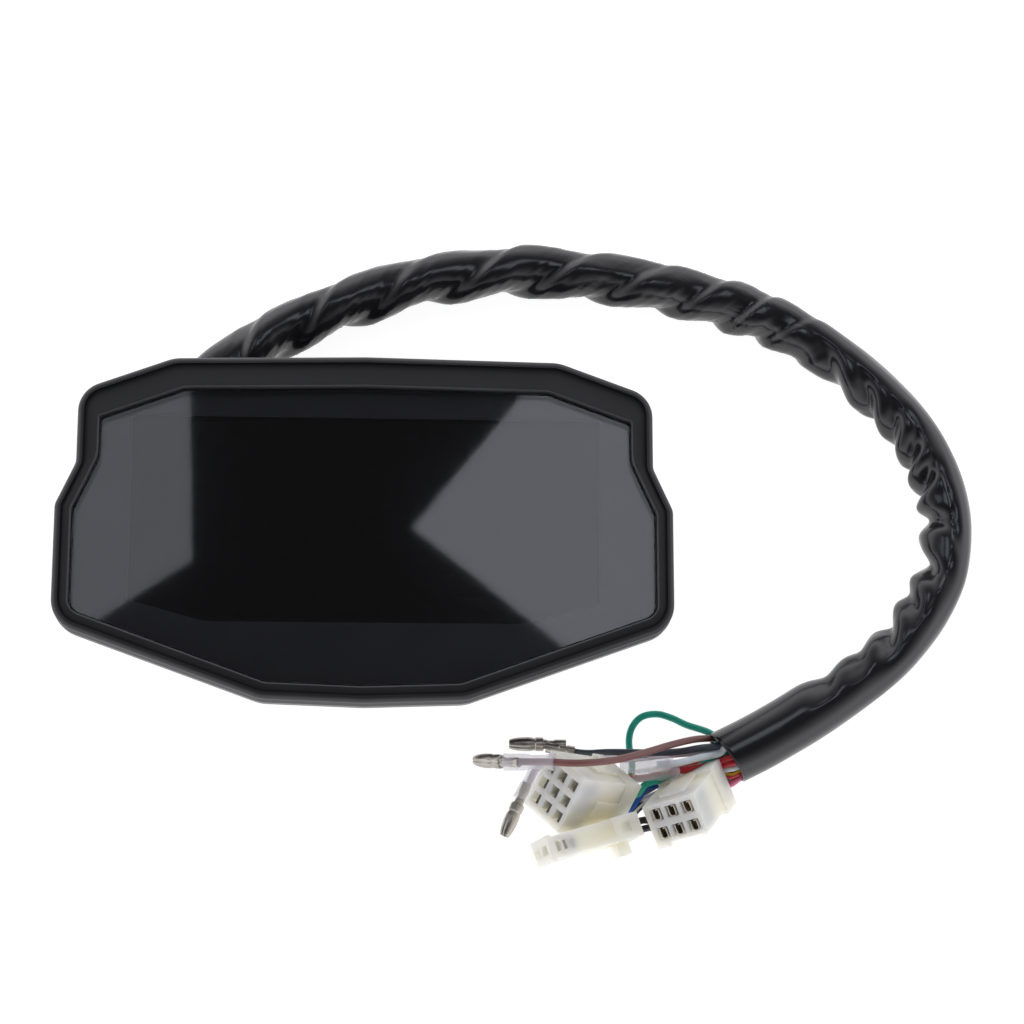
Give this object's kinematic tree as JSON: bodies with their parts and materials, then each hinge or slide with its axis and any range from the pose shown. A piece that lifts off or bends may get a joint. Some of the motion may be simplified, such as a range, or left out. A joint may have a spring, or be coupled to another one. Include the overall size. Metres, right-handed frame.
{
  "type": "motorcycle instrument cluster",
  "caption": "Faceted digital instrument cluster for a motorcycle: shallow black case, dark glossy window, sprung rear buttons, and a sleeved harness that ends in nylon connectors and bullets.",
  "frame": {"origin": "centre of the case's outline, in the plane of the four rear mounting faces", "axes": "+X to the rider's right, +Y to the top of the display, +Z out of the display"},
  "size_m": [0.2623, 0.1858, 0.0363],
  "materials": {
    "case_black": "fine matt grain",
    "mask_black": "printed satin black",
    "smoked_lens": "polished, dark smoked",
    "display_glass": "dark and polished",
    "white_plastic": "moulded",
    "clear_acrylic": "clear",
    "board_green": "solder mask",
    "chip_black": "moulded resin",
    "polyimide": "amber film",
    "rubber_black": "moulded",
    "steel": "zinc plated",
    "brass": "turned",
    "vinyl_black": "soft, glossy",
    "nylon_ivory": "translucent, satin",
    "vinyl_clear": "milky clear",
    "tinned_brass": "tin plated",
    "lead_brown": "smooth",
    "lead_grey": "smooth",
    "lead_lilac": "smooth",
    "lead_white": "smooth",
    "lead_green": "smooth"
  },
  "bodies": {
    "cluster": {"front_case": "case_black", "lens": "smoked_lens", "lens_gasket": "rubber_black", "mask_frame": "mask_black", "lcd_glass": "display_glass", "lcd_carrier": "white_plastic", "light_guide": "clear_acrylic", "backlight_lamp_bar": "white_plastic", "backlight_reflector": "white_plastic", "lcd_flex_cable": "polyimide", "flex_socket": "chip_black", "main_pcb": "board_green", "mcu_chip": "chip_black", "regulator_chip": "chip_black", "supply_capacitor": "steel", "harness_header": "white_plastic", "inner_leads": "vinyl_black", "rear_cover": "case_black", "case_seal": "rubber_black", "vent_plug": "rubber_black", "cable_grommet": "rubber_black", "tact_switch_left": "chip_black", "tact_switch_right": "chip_black", "case_screw_1": "steel", "case_screw_2": "steel", "case_screw_3": "steel", "case_screw_4": "steel", "case_screw_5": "steel", "case_screw_6": "steel", "case_screw_7": "steel", "case_screw_8": "steel", "board_screw_1": "steel", "board_screw_2": "steel", "mount_insert_1": "brass", "mount_insert_2": "brass", "mount_insert_3": "brass", "mount_insert_4": "brass", "harness_sleeve": "vinyl_black", "brown_lead": "lead_brown", "grey_lead": "lead_grey", "lilac_lead": "lead_lilac", "white_lead": "lead_white", "green_lead": "lead_green", "leads_to_9_pin": "vinyl_black", "leads_to_6_pin": "vinyl_black", "leads_to_2_pin": "vinyl_black", "connector_9_pin": "nylon_ivory", "connector_6_pin": "nylon_ivory", "connector_2_pin": "nylon_ivory", "bullet_terminal_1": "tinned_brass", "bullet_terminal_2": "tinned_brass", "bullet_terminal_3": "tinned_brass", "bullet_sleeve_1": "vinyl_clear", "bullet_crimp_2": "tinned_brass", "bullet_sleeve_3": "vinyl_clear", "receptacle_sleeve": "vinyl_clear"},
    "left_button": {"button_left": "rubber_black", "switch_plunger_left": "chip_black"},
    "right_button": {"button_right": "rubber_black", "switch_plunger_right": "chip_black"}
  },
  "joints": [
    {"name": "left_button_press", "type": "slide", "parent": "cluster", "child": "left_button", "axis": [0, 0, 1], "range_m": [0, 0.0008], "stiffness_N_per_m": 1500},
    {"name": "right_button_press", "type": "slide", "parent": "cluster", "child": "right_button", "axis": [0, 0, 1], "range_m": [0, 0.0008], "stiffness_N_per_m": 1500}
  ]
}
